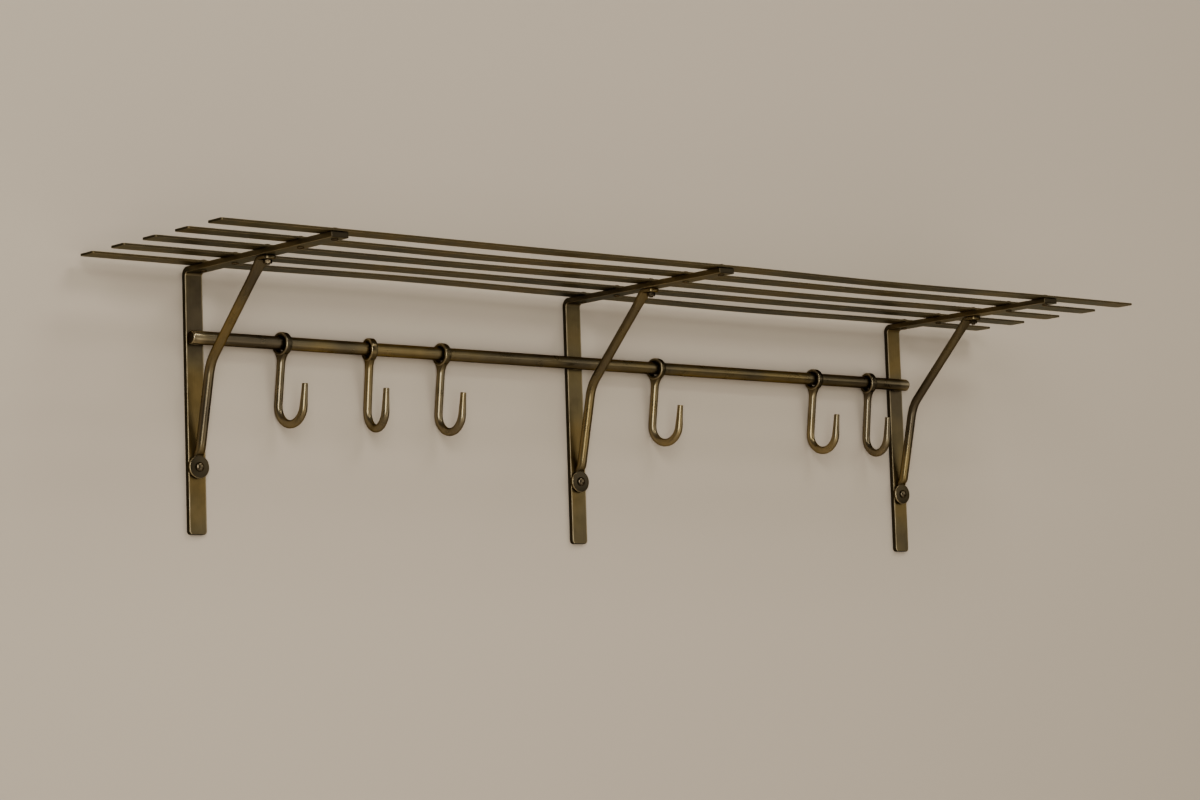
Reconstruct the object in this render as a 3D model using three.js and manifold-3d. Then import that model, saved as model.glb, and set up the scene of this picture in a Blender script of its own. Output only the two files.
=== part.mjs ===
// Wall-mounted hat-and-coat rack in aged brass.
// Five flat slats make a shelf for hats, riveted to three bent flat-bar brackets.
// A forged brace stiffens each bracket. A round rail brazed across the legs carries
// six J-hooks that slide along it and swing on it.
//
// Millimetres. X runs along the wall to the right, Y goes into the wall and Z goes up.
// The wall is the plane y = 0, so the rack stands out towards -Y. The origin is on the
// back face of the centre bracket's leg.

import * as THREE from "three";
import { mergeVertices } from "three/addons/utils/BufferGeometryUtils.js";
import Module from "manifold-3d";

const wasm = await Module();
wasm.setup();

// ---- driving dimensions ----------------------------------------------------------

const GAP = 0.3; // left between pieces that touch
const SHELF_Z = 120; // top of the bracket arms

const BRACKET_SPACING = 430;
const BAR_WIDTH = 18;
const BAR_THICKNESS = 5;
const LEG_HEIGHT = 235;
const ARM_LENGTH = 226;
const BEND_RADIUS = 8; // outside of the bend between leg and arm
const LEG_CORNER_RADIUS = 3.5;
const ARM_CORNER_RADIUS = 1.5;

const SLAT_COUNT = 5;
const SLAT_LENGTH = 1098;
const SLAT_WIDTH = 21;
const SLAT_THICKNESS = 2;
const SLAT_CORNER_RADIUS = 3;
const SLAT_FIRST = 21; // wall to the middle of the rearmost slat
const SLAT_PITCH = 49.2;

const RAIL_RADIUS = 6;
const RAIL_CHAMFER = 1.5;
const RAIL_DROP = 63; // below the top of the arms

const BRACE_RADIUS = 4.4;
const BRACE_EYE_RADIUS = 10.3;
const BRACE_PLATE = 3.5; // thickness of the forged eye and of the tongue
const BRACE_NECK_STEP = 0.5; // the neck leaves the eye this much below its front
const BRACE_EYE_DROP = 176; // eye centre, below the top of the arms
const BRACE_BEND = { reach: 28.9, drop: 86.5, radius: 36 }; // corner of the brace's bend
const BRACE_NECK = 16; // from the eye's centre to where the rod is round
const TONGUE_WIDTH = 12;
const TONGUE_BEFORE_BOLT = 8;
const TONGUE_PAST_BOLT = 6.5;
const TONGUE_END_RADIUS = 4;
const TONGUE_ROOT_RADIUS = 2;
const BRACE_THROAT = 16; // length over which the rod flattens into the tongue
const HEAD_ROOM = 0.8; // cut free around the head of the lower rivet

const EYE_BORE_RADIUS = 7; // hook eye, running loosely on the rail
const EYE_OUTER_RADIUS = 10.6;
const EYE_WIDTH = 7;
const EYE_EDGE = 1.4; // chamfer of the hook eye's edges
const HOOK_RADIUS = 3.8;
const HOOK_TIP_RADIUS = 2.75;
const HOOK_DROP = 0.6; // the loose eye hangs this much below the axis of the rail
const HOOK_SHANK = 53.9; // centre of the eye to the start of the bend
const HOOK_BEND_RADIUS = 17;
const HOOK_TIP_RISE = 20;
const HOOK_LEAN = 7.4; // degrees: the hook hangs with its shank against the wall
// Places along the rail, and how far each loose hook hangs turned from square, in degrees.
const HOOKS = [
  { x: -342, turn: 6.5 },
  { x: -246, turn: -7.5 },
  { x: -164, turn: 2.5 },
  { x: 97, turn: 8.5 },
  { x: 307.5, turn: 4.5 },
  { x: 384.5, turn: -6 },
];

const RIVET_SHANK_RADIUS = 2;
const RIVET_HEAD = { radius: 3.6, height: 2 };
const RIVET_TAIL = { radius: 3.2, height: 1.3 };
const EYE_RIVET_SHANK_RADIUS = 2.5;
const EYE_RIVET_HEAD = { radius: 4.2, height: 2.4 };
const EYE_RIVET_SINK_RADIUS = 4;
const EYE_RIVET_SINK_DEPTH = 1.8;
const NUT_ACROSS_FLATS = 7;
const NUT_HEIGHT = 3.2;
const BOLT_PAST_NUT = 1.2;

const ROD_SIDES = 10;
const RAIL_SIDES = 20;
const RIVET_SIDES = 8;
const EYE_SIDES = 16;
const ROUND_SIDES = 20;
const BRACE_STEPS = 12;
const HOOK_STEPS = 15;

const OVERLAP = 0.4; // how far solids that are joined run into each other
const BEYOND = 1; // how far a cutting solid passes what it cuts
const THROUGH = 40; // longer than any hole

// ---- derived places ----------------------------------------------------------------

const LEG_FOOT_Z = SHELF_Z - LEG_HEIGHT;
const RAIL_Y = -(BAR_THICKNESS + GAP + RAIL_RADIUS);
const RAIL_Z = SHELF_Z - RAIL_DROP;
const RAIL_LENGTH = 2 * BRACKET_SPACING + BAR_WIDTH; // flush with the outer sides of the legs
const EYE_Z = SHELF_Z - BRACE_EYE_DROP;
const PLATE_BACK_Y = -(BAR_THICKNESS + GAP);
const PLATE_MIDDLE_Y = PLATE_BACK_Y - BRACE_PLATE / 2;
const TONGUE_TOP_Z = SHELF_Z - BAR_THICKNESS - GAP;
const TONGUE_MIDDLE_Z = TONGUE_TOP_Z - BRACE_PLATE / 2;
const SLAT_BOTTOM_Z = SHELF_Z + GAP;
const SLAT_TOP_Z = SLAT_BOTTOM_Z + SLAT_THICKNESS;
const slatY = (index) => -(SLAT_FIRST + index * SLAT_PITCH);
const BOLTED_SLAT = 2; // the third slat's bolt also holds the brace
const BRACKETS = [
  { name: "left", x: -BRACKET_SPACING },
  { name: "center", x: 0 },
  { name: "right", x: BRACKET_SPACING },
];

// ---- materials -----------------------------------------------------------------------

const agedBrass = (color, roughness) =>
  new THREE.MeshStandardMaterial({ color, roughness, metalness: 1 });
const barBrass = agedBrass(0x6f5d3c, 0.42);
const rodBrass = agedBrass(0x7d6a48, 0.36);
const fastenerBrass = agedBrass(0x54462e, 0.4);

// ---- solids --------------------------------------------------------------------------

function toSolid(geometry) {
  const bare = geometry.index ? geometry.toNonIndexed() : geometry.clone();
  bare.deleteAttribute("normal");
  bare.deleteAttribute("uv");
  const merged = mergeVertices(bare, 1e-4);
  const triVerts = [];
  for (let i = 0; i < merged.index.count; i += 3) {
    const [a, b, c] = [0, 1, 2].map((k) => merged.index.getX(i + k));
    if (a !== b && b !== c && c !== a) triVerts.push(a, b, c);
  }
  return new wasm.Manifold(
    new wasm.Mesh({
      numProp: 3,
      vertProperties: Float32Array.from(merged.attributes.position.array),
      triVerts: Uint32Array.from(triVerts),
    })
  );
}

function fromSolid(solid) {
  const mesh = solid.getMesh();
  const geometry = new THREE.BufferGeometry();
  geometry.setAttribute("position", new THREE.BufferAttribute(mesh.vertProperties, 3));
  geometry.setIndex(new THREE.BufferAttribute(mesh.triVerts, 1));
  geometry.computeVertexNormals();
  return geometry;
}

function polygon(radius, sides, turn = 0) {
  const points = [];
  for (let i = 0; i < sides; i += 1) {
    const angle = turn + (2 * Math.PI * i) / sides;
    points.push(new THREE.Vector2(radius * Math.cos(angle), radius * Math.sin(angle)));
  }
  return points;
}

function roundedRectangle(left, bottom, right, top, radii) {
  const [lowLeft, lowRight, highRight, highLeft] = radii;
  const shape = new THREE.Shape();
  shape.moveTo(left + lowLeft, bottom);
  shape.lineTo(right - lowRight, bottom);
  shape.absarc(right - lowRight, bottom + lowRight, lowRight, -Math.PI / 2, 0);
  shape.lineTo(right, top - highRight);
  shape.absarc(right - highRight, top - highRight, highRight, 0, Math.PI / 2);
  shape.lineTo(left + highLeft, top);
  shape.absarc(left + highLeft, top - highLeft, highLeft, Math.PI / 2, Math.PI);
  shape.lineTo(left, bottom + lowLeft);
  shape.absarc(left + lowLeft, bottom + lowLeft, lowLeft, Math.PI, 1.5 * Math.PI);
  return shape;
}

// A solid of revolution whose axis is Z. The profile is [radius, z] pairs, going up.
function turned(profile, sides) {
  const points = profile.map(([radius, z]) => new THREE.Vector2(radius, z));
  return new THREE.LatheGeometry(points, sides).rotateX(Math.PI / 2);
}

function drill(radius, length, sides = RIVET_SIDES) {
  const across = radius / Math.cos(Math.PI / sides);
  return new THREE.CylinderGeometry(across, across, length, sides);
}

// An arc in the plane x = 0, from one angle to another; angle 0 is +Y and 90 degrees is +Z.
class SideArc extends THREE.Curve {
  constructor(y, z, radius, from, to) {
    super();
    Object.assign(this, { y, z, radius, from, to });
  }
  getPoint(t, target = new THREE.Vector3()) {
    const angle = this.from + t * (this.to - this.from);
    return target.set(
      0,
      this.y + this.radius * Math.cos(angle),
      this.z + this.radius * Math.sin(angle)
    );
  }
}

const sideLine = (y0, z0, y1, z1) =>
  new THREE.LineCurve3(new THREE.Vector3(0, y0, z0), new THREE.Vector3(0, y1, z1));

function rodAlong(curves, radius, steps) {
  const path = new THREE.CurvePath();
  curves.forEach((curve) => path.add(curve));
  const section = new THREE.Shape(polygon(radius, ROD_SIDES));
  return new THREE.ExtrudeGeometry(section, { steps, bevelEnabled: false, extrudePath: path });
}

// A slice of a bar in the plane x = 0, square to the direction (dy, dz).
function slice(y, z, dy, dz, halfWidth, halfDepth) {
  const round = new THREE.CylinderGeometry(1, 1, OVERLAP, ROD_SIDES);
  round.scale(halfWidth, 1, halfDepth).rotateX(Math.atan2(dz, dy));
  return toSolid(round.translate(0, y, z));
}

// A cone or cylinder between two points of the plane x = 0.
function taperBetween(y0, z0, radius0, y1, z1, radius1) {
  const length = Math.hypot(y1 - y0, z1 - z0);
  const cone = new THREE.CylinderGeometry(radius1, radius0, length, ROD_SIDES);
  cone.rotateX(Math.atan2(z1 - z0, y1 - y0));
  return cone.translate(0, (y0 + y1) / 2, (z0 + z1) / 2);
}

// ---- bracket: one flat bar bent square, leg on the wall and arm under the slats --------

function bracketGeometry() {
  const side = new THREE.Shape(); // drawn with x = distance from the wall, y = height
  side.moveTo(0, LEG_FOOT_Z);
  side.lineTo(BAR_THICKNESS, LEG_FOOT_Z);
  const inner = BEND_RADIUS - BAR_THICKNESS;
  side.lineTo(BAR_THICKNESS, SHELF_Z - BEND_RADIUS);
  side.absarc(BEND_RADIUS, SHELF_Z - BEND_RADIUS, inner, Math.PI, Math.PI / 2, true);
  side.lineTo(ARM_LENGTH, SHELF_Z - BAR_THICKNESS);
  side.lineTo(ARM_LENGTH, SHELF_Z);
  side.lineTo(BEND_RADIUS, SHELF_Z);
  side.absarc(BEND_RADIUS, SHELF_Z - BEND_RADIUS, BEND_RADIUS, Math.PI / 2, Math.PI);
  const bar = new THREE.ExtrudeGeometry(side, {
    depth: BAR_WIDTH,
    bevelEnabled: false,
    curveSegments: 5,
  });
  // turned so that the drawing's x runs to -Y, its y to Z and the depth along X
  bar.applyMatrix4(
    new THREE.Matrix4().set(0, 0, -1, BAR_WIDTH / 2, -1, 0, 0, 0, 0, 1, 0, 0, 0, 0, 0, 1)
  );

  const half = BAR_WIDTH / 2;
  const front = roundedRectangle(-half, LEG_FOOT_Z, half, SHELF_Z + BEYOND, [
    LEG_CORNER_RADIUS,
    LEG_CORNER_RADIUS,
    BEYOND / 2,
    BEYOND / 2,
  ]);
  const frontTrim = new THREE.ExtrudeGeometry(front, {
    depth: ARM_LENGTH + 2 * BEYOND,
    bevelEnabled: false,
    curveSegments: 3,
  });
  frontTrim.rotateX(Math.PI / 2).translate(0, BEYOND, 0);

  const plan = roundedRectangle(-half, -ARM_LENGTH, half, BEYOND, [
    ARM_CORNER_RADIUS,
    ARM_CORNER_RADIUS,
    BEYOND / 2,
    BEYOND / 2,
  ]);
  const planTrim = new THREE.ExtrudeGeometry(plan, {
    depth: LEG_HEIGHT + 2 * BEYOND,
    bevelEnabled: false,
    curveSegments: 2,
  });
  planTrim.translate(0, 0, LEG_FOOT_Z - BEYOND);

  let solid = toSolid(bar).intersect(toSolid(frontTrim)).intersect(toSolid(planTrim));
  for (let index = 0; index < SLAT_COUNT; index += 1) {
    const hole = drill(RIVET_SHANK_RADIUS + GAP, THROUGH).rotateX(Math.PI / 2);
    solid = solid.subtract(toSolid(hole.translate(0, slatY(index), SHELF_Z)));
  }
  const flare = (EYE_RIVET_SINK_RADIUS - EYE_RIVET_SHANK_RADIUS) / EYE_RIVET_SINK_DEPTH;
  const sink = turned(
    [
      [0, -BEYOND],
      [EYE_RIVET_SINK_RADIUS + GAP + flare * BEYOND, -BEYOND],
      [EYE_RIVET_SHANK_RADIUS + GAP, EYE_RIVET_SINK_DEPTH],
      [EYE_RIVET_SHANK_RADIUS + GAP, THROUGH],
      [0, THROUGH],
    ],
    RIVET_SIDES
  );
  return fromSolid(solid.subtract(toSolid(sink.rotateX(Math.PI / 2).translate(0, 0, EYE_Z))));
}

// ---- brace: round rod, forged flat into an eye below and a tongue above ----------------

function braceGeometry() {
  const bendY = -BRACE_BEND.reach;
  const bendZ = SHELF_Z - BRACE_BEND.drop;
  const lower = new THREE.Vector2(bendY - PLATE_MIDDLE_Y, bendZ - EYE_Z).normalize();
  const boltY = slatY(BOLTED_SLAT);
  const tongueStartY = boltY + TONGUE_BEFORE_BOLT;
  const upper = new THREE.Vector2(tongueStartY - bendY, TONGUE_MIDDLE_Z - bendZ).normalize();

  // the bend is an arc tangent to both straight runs, curving out from the wall
  const turn = Math.acos(lower.dot(upper));
  const tangent = BRACE_BEND.radius * Math.tan(turn / 2);
  const arcStart = new THREE.Vector2(bendY, bendZ).addScaledVector(lower, -tangent);
  const arcEnd = new THREE.Vector2(bendY, bendZ).addScaledVector(upper, tangent);
  const toCentre = new THREE.Vector2(-lower.y, lower.x).multiplyScalar(BRACE_BEND.radius);
  const centre = arcStart.clone().add(toCentre);
  const from = Math.atan2(arcStart.y - centre.y, arcStart.x - centre.x);

  const neckTop = new THREE.Vector2(PLATE_MIDDLE_Y, EYE_Z).addScaledVector(lower, BRACE_NECK);
  const throatFoot = new THREE.Vector2(tongueStartY, TONGUE_MIDDLE_Z);
  throatFoot.addScaledVector(upper, -BRACE_THROAT);
  const rod = rodAlong(
    [
      sideLine(neckTop.x, neckTop.y, arcStart.x, arcStart.y),
      new SideArc(centre.x, centre.y, BRACE_BEND.radius, from, from + turn),
      sideLine(arcEnd.x, arcEnd.y, throatFoot.x, throatFoot.y),
    ],
    BRACE_RADIUS,
    BRACE_STEPS
  );
  const half = BRACE_PLATE / 2;
  const neckFootY = PLATE_BACK_Y - (BRACE_PLATE - BRACE_NECK_STEP) / 2;
  const neckFootZ = EYE_Z + BRACE_EYE_RADIUS - 2 * BRACE_NECK_STEP;
  const neckHalf = half - BRACE_NECK_STEP / 2;
  const neck = wasm.Manifold.hull([
    slice(neckFootY, neckFootZ, 0, 1, BRACE_RADIUS, neckHalf),
    slice(neckTop.x, neckTop.y, lower.x, lower.y, BRACE_RADIUS, BRACE_RADIUS),
  ]);
  const throatEndY = tongueStartY - TONGUE_ROOT_RADIUS;
  const throat = wasm.Manifold.hull([
    slice(throatFoot.x, throatFoot.y, upper.x, upper.y, BRACE_RADIUS, BRACE_RADIUS),
    slice(throatEndY, TONGUE_MIDDLE_Z, -1, 0, TONGUE_WIDTH / 2, half),
  ]);
  const [disc, plate] = [BRACE_EYE_RADIUS, BRACE_PLATE];
  const eye = new THREE.CylinderGeometry(disc, disc, plate, ROUND_SIDES);
  eye.translate(0, PLATE_MIDDLE_Y, EYE_Z);
  const tongueEnd = boltY - TONGUE_PAST_BOLT;
  const halfTongue = TONGUE_WIDTH / 2;
  const tongueRoot = tongueStartY + TONGUE_ROOT_RADIUS;
  const outline = roundedRectangle(-halfTongue, tongueEnd, halfTongue, tongueRoot, [
    TONGUE_END_RADIUS,
    TONGUE_END_RADIUS,
    TONGUE_ROOT_RADIUS,
    TONGUE_ROOT_RADIUS,
  ]);
  const tongue = new THREE.ExtrudeGeometry(outline, {
    depth: BRACE_PLATE,
    bevelEnabled: false,
    curveSegments: 3,
  });
  tongue.translate(0, 0, TONGUE_TOP_Z - BRACE_PLATE);

  const eyeHole = drill(EYE_RIVET_SHANK_RADIUS + GAP, THROUGH);
  eyeHole.translate(0, PLATE_MIDDLE_Y, EYE_Z);
  const headSeat = drill(EYE_RIVET_HEAD.radius + HEAD_ROOM, THROUGH, EYE_SIDES);
  headSeat.translate(0, PLATE_BACK_Y - BRACE_PLATE - THROUGH / 2, EYE_Z);
  const boltHole = drill(RIVET_SHANK_RADIUS + GAP, THROUGH).rotateX(Math.PI / 2);
  boltHole.translate(0, boltY, TONGUE_MIDDLE_Z);
  const above = new THREE.BoxGeometry(2 * BAR_WIDTH, 2 * ARM_LENGTH, THROUGH);
  above.translate(0, -ARM_LENGTH, TONGUE_TOP_Z + THROUGH / 2);
  return fromSolid(
    [neck, throat, toSolid(eye), toSolid(tongue)]
      .reduce((solid, piece) => solid.add(piece), toSolid(rod))
      .subtract(toSolid(eyeHole))
      .subtract(toSolid(headSeat))
      .subtract(toSolid(boltHole))
      .subtract(toSolid(above))
  );
}

// ---- slat: flat bar, drilled over each bracket -----------------------------------------

function slatGeometry() {
  const halfLength = SLAT_LENGTH / 2;
  const halfWidth = SLAT_WIDTH / 2;
  const corners = Array(4).fill(SLAT_CORNER_RADIUS);
  const outline = roundedRectangle(-halfLength, -halfWidth, halfLength, halfWidth, corners);
  const holeRadius = (RIVET_SHANK_RADIUS + GAP) / Math.cos(Math.PI / RIVET_SIDES);
  for (const { x } of BRACKETS) {
    const ring = polygon(holeRadius, RIVET_SIDES, Math.PI / RIVET_SIDES);
    outline.holes.push(new THREE.Path(ring.map((p) => p.add(new THREE.Vector2(x, 0)))));
  }
  return new THREE.ExtrudeGeometry(outline, {
    depth: SLAT_THICKNESS,
    bevelEnabled: false,
    curveSegments: 3,
  });
}

// ---- rail --------------------------------------------------------------------------------

function railGeometry() {
  const half = RAIL_LENGTH / 2;
  const rim = RAIL_RADIUS - RAIL_CHAMFER;
  const profile = [
    [0, -half],
    [rim, -half],
    [RAIL_RADIUS, -half + RAIL_CHAMFER],
    [RAIL_RADIUS, half - RAIL_CHAMFER],
    [rim, half],
    [0, half],
  ];
  return turned(profile, RAIL_SIDES).rotateY(Math.PI / 2);
}

// ---- hook: an eye on the rail, and a J that leans on the wall ------------------------------

function hookEyeGeometry() {
  const half = EYE_WIDTH / 2;
  const profile = [
    [EYE_BORE_RADIUS, -half + EYE_EDGE],
    [EYE_BORE_RADIUS + EYE_EDGE, -half],
    [EYE_OUTER_RADIUS - EYE_EDGE, -half],
    [EYE_OUTER_RADIUS, -half + EYE_EDGE],
    [EYE_OUTER_RADIUS, half - EYE_EDGE],
    [EYE_OUTER_RADIUS - EYE_EDGE, half],
    [EYE_BORE_RADIUS + EYE_EDGE, half],
    [EYE_BORE_RADIUS, half - EYE_EDGE],
    [EYE_BORE_RADIUS, -half + EYE_EDGE],
  ];
  return turned(profile, EYE_SIDES).rotateY(Math.PI / 2);
}

// The J hangs straight down from the eye's centre here; its node is turned to its lean.
function hookShankGeometry() {
  const tipY = -2 * HOOK_BEND_RADIUS;
  const bendZ = -HOOK_SHANK;
  const rod = rodAlong(
    [
      sideLine(0, -EYE_BORE_RADIUS, 0, bendZ),
      new SideArc(-HOOK_BEND_RADIUS, bendZ, HOOK_BEND_RADIUS, 0, -Math.PI),
    ],
    HOOK_RADIUS,
    HOOK_STEPS
  );
  const tip = taperBetween(
    tipY,
    bendZ - OVERLAP,
    HOOK_RADIUS,
    tipY,
    bendZ + HOOK_TIP_RISE,
    HOOK_TIP_RADIUS
  );
  const eyeRoom = drill(EYE_OUTER_RADIUS + GAP, THROUGH, 2 * ROUND_SIDES).rotateZ(Math.PI / 2);
  return fromSolid(toSolid(rod).add(toSolid(tip)).subtract(toSolid(eyeRoom)));
}

// ---- fasteners -------------------------------------------------------------------------------

// A low domed head as profile points, from its rim to its crown.
function dome(base, { radius, height }, sign = 1) {
  const shoulder = { radius: 0.78 * radius, height: 0.62 * height };
  return [
    [radius, base],
    [shoulder.radius, base + sign * shoulder.height],
    [0, base + sign * height],
  ];
}

function slatRivetGeometry() {
  const headBase = SLAT_TOP_Z + GAP;
  const tailBase = SHELF_Z - BAR_THICKNESS - GAP;
  return turned(
    [
      ...dome(tailBase, RIVET_TAIL, -1).reverse(),
      [RIVET_SHANK_RADIUS, tailBase],
      [RIVET_SHANK_RADIUS, headBase],
      ...dome(headBase, RIVET_HEAD),
    ],
    RIVET_SIDES
  );
}

const NUT_TOP_Z = TONGUE_TOP_Z - BRACE_PLATE - GAP;

function braceBoltGeometry() {
  const headBase = SLAT_TOP_Z + GAP;
  const foot = NUT_TOP_Z - NUT_HEIGHT - BOLT_PAST_NUT;
  return turned(
    [
      [0, foot],
      [RIVET_SHANK_RADIUS, foot],
      [RIVET_SHANK_RADIUS, headBase],
      ...dome(headBase, RIVET_HEAD),
    ],
    RIVET_SIDES
  );
}

function nutGeometry() {
  const outline = new THREE.Shape(polygon(NUT_ACROSS_FLATS / Math.sqrt(3), 6));
  const bore = (RIVET_SHANK_RADIUS + GAP) / Math.cos(Math.PI / RIVET_SIDES);
  outline.holes.push(new THREE.Path(polygon(bore, RIVET_SIDES, Math.PI / RIVET_SIDES)));
  return new THREE.ExtrudeGeometry(outline, { depth: NUT_HEIGHT, bevelEnabled: false });
}

// Its tail fills the countersink in the back of the leg. Here the axis is Z, head up.
function eyeRivetGeometry() {
  const headBase = -PLATE_BACK_Y + BRACE_PLATE + GAP;
  return turned(
    [
      [0, GAP],
      [EYE_RIVET_SINK_RADIUS - GAP, GAP],
      [EYE_RIVET_SHANK_RADIUS, EYE_RIVET_SINK_DEPTH],
      [EYE_RIVET_SHANK_RADIUS, headBase],
      ...dome(headBase, EYE_RIVET_HEAD),
    ],
    EYE_SIDES
  );
}

// ---- assembly ----------------------------------------------------------------------------------

const rack = new THREE.Group();

function addPiece(parent, name, geometry, material) {
  const mesh = new THREE.Mesh(geometry, material);
  mesh.name = name;
  parent.add(mesh);
  return mesh;
}

const bracket = bracketGeometry();
const brace = braceGeometry();
const slatRivet = slatRivetGeometry();
const braceBolt = braceBoltGeometry();
const nut = nutGeometry();
const eyeRivet = eyeRivetGeometry();

for (const { name, x } of BRACKETS) {
  const station = new THREE.Group();
  station.position.x = x;
  rack.add(station);
  addPiece(station, `bracket_${name}`, bracket, barBrass);
  addPiece(station, `brace_${name}`, brace, rodBrass);
  const low = addPiece(station, `brace_rivet_${name}`, eyeRivet, fastenerBrass);
  low.position.z = EYE_Z;
  low.rotation.x = Math.PI / 2;
  for (let index = 0; index < SLAT_COUNT; index += 1) {
    if (index === BOLTED_SLAT) {
      addPiece(station, `brace_bolt_${name}`, braceBolt, fastenerBrass).position.y = slatY(index);
      const held = addPiece(station, `brace_nut_${name}`, nut, fastenerBrass);
      held.position.set(0, slatY(index), NUT_TOP_Z - NUT_HEIGHT);
    } else {
      const rivet = addPiece(station, `slat_${index + 1}_rivet_${name}`, slatRivet, fastenerBrass);
      rivet.position.y = slatY(index);
    }
  }
}

const slat = slatGeometry();
for (let index = 0; index < SLAT_COUNT; index += 1) {
  const bar = addPiece(rack, `slat_${index + 1}`, slat, barBrass);
  bar.position.set(0, slatY(index), SLAT_BOTTOM_Z);
}

addPiece(rack, "hanging_rail", railGeometry(), rodBrass).position.set(0, RAIL_Y, RAIL_Z);

const hookEye = hookEyeGeometry();
const hookShank = hookShankGeometry();
HOOKS.forEach(({ x, turn }, index) => {
  const place = new THREE.Group();
  place.position.set(x, RAIL_Y, RAIL_Z - HOOK_DROP);
  place.rotation.z = THREE.MathUtils.degToRad(turn);
  rack.add(place);
  addPiece(place, `hook_${index + 1}_eye`, hookEye, rodBrass);
  const shank = addPiece(place, `hook_${index + 1}_shank`, hookShank, rodBrass);
  shank.rotation.x = THREE.MathUtils.degToRad(HOOK_LEAN);
});

export default rack;
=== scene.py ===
"""Looks of a wall-mounted hat and coat rack in aged brass.

Every piece is shaped around its CAD node. Metres; X runs along the wall to the right,
Y goes into the wall and Z goes up. The wall is the plane y = 0.
"""

import math

import bpy
from mathutils import Matrix, Vector, noise


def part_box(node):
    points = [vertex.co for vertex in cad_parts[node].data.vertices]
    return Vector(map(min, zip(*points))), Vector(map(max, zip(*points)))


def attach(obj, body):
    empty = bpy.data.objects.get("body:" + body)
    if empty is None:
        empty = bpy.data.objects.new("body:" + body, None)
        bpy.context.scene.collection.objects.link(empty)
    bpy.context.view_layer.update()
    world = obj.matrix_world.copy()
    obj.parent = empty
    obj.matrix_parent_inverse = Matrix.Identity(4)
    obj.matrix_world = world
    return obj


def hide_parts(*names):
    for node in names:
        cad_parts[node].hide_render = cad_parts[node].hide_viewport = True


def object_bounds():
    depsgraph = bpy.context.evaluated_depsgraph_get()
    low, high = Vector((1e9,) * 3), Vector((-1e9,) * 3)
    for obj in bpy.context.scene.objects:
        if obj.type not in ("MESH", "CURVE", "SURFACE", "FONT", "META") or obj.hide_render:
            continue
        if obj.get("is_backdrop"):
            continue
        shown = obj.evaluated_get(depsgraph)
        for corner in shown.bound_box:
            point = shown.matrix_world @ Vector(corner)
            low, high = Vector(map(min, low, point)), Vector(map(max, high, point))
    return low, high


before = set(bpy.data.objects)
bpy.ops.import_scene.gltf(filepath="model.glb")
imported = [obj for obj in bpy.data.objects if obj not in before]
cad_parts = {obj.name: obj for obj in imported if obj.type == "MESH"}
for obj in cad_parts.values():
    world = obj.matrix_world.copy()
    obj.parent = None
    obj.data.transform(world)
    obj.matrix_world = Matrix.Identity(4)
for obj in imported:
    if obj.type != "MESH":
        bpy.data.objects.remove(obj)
bounds_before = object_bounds()

MM = 0.001
SIDES = ("left", "center", "right")
RIGHT, BACK, UP = Vector((1, 0, 0)), Vector((0, 1, 0)), Vector((0, 0, 1))
OUT = -BACK


# ---- outlines and profiles -------------------------------------------------------------------


def inset(distance, radius):
    """How far a corner of that radius steps in, at a distance from the end of the bar."""
    if distance >= radius:
        return 0.0
    return radius - math.sqrt(max(0.0, radius**2 - (radius - distance) ** 2))


def bar_section(half_width, half_depth, edge, shade=1.0, steps=3, hold=0.9 * MM):
    """A flat bar's section as (u, v, tones): tones are (rubbed, darkened), 0 to 1.

    Its rounded edges are rubbed, and its narrow sides are darkened by shade.
    """
    edge = min(edge, half_width * 0.98, half_depth * 0.98)
    hold_u = min(hold, (half_width - edge) / 3)
    hold_v = min(hold, (half_depth - edge) / 3)
    points = []
    for quarter, (su, sv) in enumerate(((1, 1), (-1, 1), (-1, -1), (1, -1))):
        cu, cv = su * (half_width - edge), sv * (half_depth - edge)
        before = (su * half_width, cv - sv * hold_v)
        after = (cu - su * hold_u, sv * half_depth)
        if quarter % 2:
            before, after = after, before
        points.append((*before, (0.0, shade * (before[0] == su * half_width))))
        for step in range(steps + 1):
            angle = (quarter + step / steps) * math.pi / 2
            side = abs(math.cos(angle)) > 0.8
            tones = (0.0, shade) if side else (1.0, 0.0)
            points.append((cu + edge * math.cos(angle), cv + edge * math.sin(angle), tones))
        points.append((*after, (0.0, shade * (after[0] == su * half_width))))
    return points


def rod_section(half_width, half_depth, edge, steps=6):
    """A section that is a circle when edge reaches both halves, and a rounded bar when not."""
    edge = min(edge, half_width, half_depth)
    points = []
    for quarter, (su, sv) in enumerate(((1, 1), (-1, 1), (-1, -1), (1, -1))):
        cu, cv = su * (half_width - edge), sv * (half_depth - edge)
        for step in range(steps):
            angle = (quarter + step / steps) * math.pi / 2
            points.append((cu + edge * math.cos(angle), cv + edge * math.sin(angle), (0.0, 0.0)))
    return points


def end_steps(radius, count=6):
    """Distances from the end of a bar that follow a rounded corner closely."""
    return [radius * (1 - math.cos(k * math.pi / 2 / count)) for k in range(count + 1)]


def dome(radius, height, steps=7):
    """A domed head as (radius, height) pairs from its rim up, with a small flat at the rim."""
    rim = 0.14 * height
    rounds = [k * math.pi / 2 / steps for k in range(steps)]
    return [(radius * 0.97, 0)] + [
        (radius * math.cos(a), rim + (height - rim) * math.sin(a)) for a in rounds
    ]


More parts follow.
